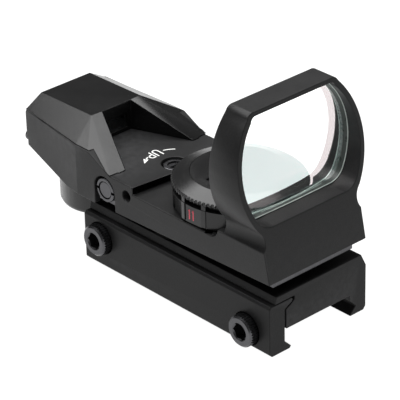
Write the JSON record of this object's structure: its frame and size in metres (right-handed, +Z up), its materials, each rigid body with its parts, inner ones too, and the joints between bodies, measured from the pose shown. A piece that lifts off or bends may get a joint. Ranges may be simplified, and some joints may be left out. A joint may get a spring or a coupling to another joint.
{
  "type": "red dot finder",
  "caption": "Open reflex finder with a hooded tilted lens, rear emitter housing, dimmer knob and a rail clamp; it projects an aiming dot for pointing a telescope.",
  "frame": {"origin": "centre of the rail seat face under the base", "axes": "+Y along the rail towards the target, +X to the observer's right (clamp side), +Z up"},
  "size_m": [0.0348, 0.0799, 0.0518],
  "materials": {
    "black_aluminium": "matte black anodised aluminium",
    "black_plastic": "fine satin moulded plastic",
    "knob_plastic": "satin moulded plastic",
    "black_steel": "black oxide steel",
    "bright_steel": "bright steel",
    "spring_steel": "spring wire",
    "cell_steel": "nickel plated steel can",
    "brass": "turned brass",
    "nylon": "natural nylon",
    "rubber": "black rubber",
    "lens_glass": "coated glass",
    "window_glass": "clear window",
    "board": "fibreglass board",
    "led_body": "diffused red plastic",
    "film": "opaque film"
  },
  "bodies": {
    "base": {"rail_base": "black_aluminium", "windage_post": "brass", "yaw_pin": "bright_steel", "pivot_washer": "nylon", "glide_pad_left": "nylon", "glide_pad_right": "nylon"},
    "jaw": {"jaw_plate": "black_aluminium"},
    "clamp_front": {"clamp_screw_front": "black_steel"},
    "clamp_rear": {"clamp_screw_rear": "black_steel"},
    "swing": {"swing_plate": "black_steel", "elevation_nut": "brass", "pitch_pin_left": "bright_steel", "pitch_pin_right": "bright_steel", "preload_spring": "spring_steel"},
    "windage": {"windage_screw": "black_steel", "windage_clip": "black_steel"},
    "upper": {"main_housing": "black_aluminium", "lens": "lens_glass", "lens_seal": "rubber", "emitter_cover": "black_plastic", "emitter_window": "window_glass", "rear_plate": "black_plastic", "rear_screw_left": "black_steel", "rear_screw_right": "black_steel", "led_board": "board", "led": "led_body", "knob_screw": "bright_steel", "dimmer_board": "board", "detent_ball": "bright_steel", "detent_spring": "spring_steel"},
    "elevation": {"elevation_screw": "black_steel", "elevation_clip": "black_steel"},
    "lock": {"lock_screw": "black_steel"},
    "knob": {"dimmer_knob": "knob_plastic", "coin_cell": "cell_steel", "contact_spring": "spring_steel", "knob_wiper": "spring_steel"},
    "cap_ring": {"cap_seal": "rubber"},
    "cap": {"battery_cap": "knob_plastic"},
    "selector": {"selector_drum": "black_plastic", "reticle_film": "film"}
  },
  "joints": [
    {"name": "jaw_slide", "type": "slide", "parent": "base", "child": "jaw", "axis": [1, 0, 0], "range_m": [0, 0.003]},
    {"name": "clamp_front_turn", "type": "hinge", "parent": "jaw", "child": "clamp_front", "pos_m": [0.0138, 0.02175, -0.0008], "axis": [1, 0, 0], "range_deg": [0, 1550]},
    {"name": "clamp_rear_turn", "type": "hinge", "parent": "jaw", "child": "clamp_rear", "pos_m": [0.0138, -0.02335, 0.002], "axis": [1, 0, 0], "range_deg": [0, 1550]},
    {"name": "windage_swing", "type": "hinge", "parent": "base", "child": "swing", "pos_m": [0, 0.014, 0.0098], "axis": [0, 0, 1], "range_deg": [-0.48, 0.48]},
    {"name": "windage_turn", "type": "hinge", "parent": "swing", "child": "windage", "pos_m": [0.0125, -0.0215, 0.0142], "axis": [1, 0, 0], "range_deg": [-216, 216]},
    {"name": "elevation_tilt", "type": "hinge", "parent": "swing", "child": "upper", "pos_m": [0, 0.0205, 0.013], "axis": [1, 0, 0], "range_deg": [-0.48, 0.48], "deforming": ["preload_spring"]},
    {"name": "elevation_turn", "type": "hinge", "parent": "upper", "child": "elevation", "pos_m": [0, -0.0144, 0.017], "axis": [0, 0, 1], "range_deg": [-216, 216]},
    {"name": "lock_turn", "type": "hinge", "parent": "upper", "child": "lock", "pos_m": [0.005, -0.0144, 0.0156], "axis": [1, 0, 0], "range_deg": [0, 360]},
    {"name": "dimmer_turn", "type": "hinge", "parent": "upper", "child": "knob", "pos_m": [0, 0.0054, 0.02], "axis": [0, 0, 1], "range_deg": [-96, 168]},
    {"name": "cap_lift", "type": "slide", "parent": "knob", "child": "cap_ring", "axis": [0, 0, 1], "range_m": [0, 0.00125]},
    {"name": "cap_turn", "type": "hinge", "parent": "cap_ring", "child": "cap", "pos_m": [0, 0.0054, 0.024], "axis": [0, 0, 1], "range_deg": [0, 452]},
    {"name": "selector_turn", "type": "hinge", "parent": "upper", "child": "selector", "pos_m": [0, -0.039, 0.006], "axis": [0, 0, 1], "range_deg": [0, 90]}
  ],
  "couplings": [
    {"joint": "clamp_front_turn", "follows": "jaw_slide", "rad_per_m": 8976},
    {"joint": "clamp_rear_turn", "follows": "jaw_slide", "rad_per_m": 8976},
    {"joint": "windage_turn", "follows": "windage_swing", "ratio": 446.11},
    {"joint": "elevation_turn", "follows": "elevation_tilt", "ratio": -438.57},
    {"joint": "cap_turn", "follows": "cap_lift", "rad_per_m": 6283.2}
  ]
}
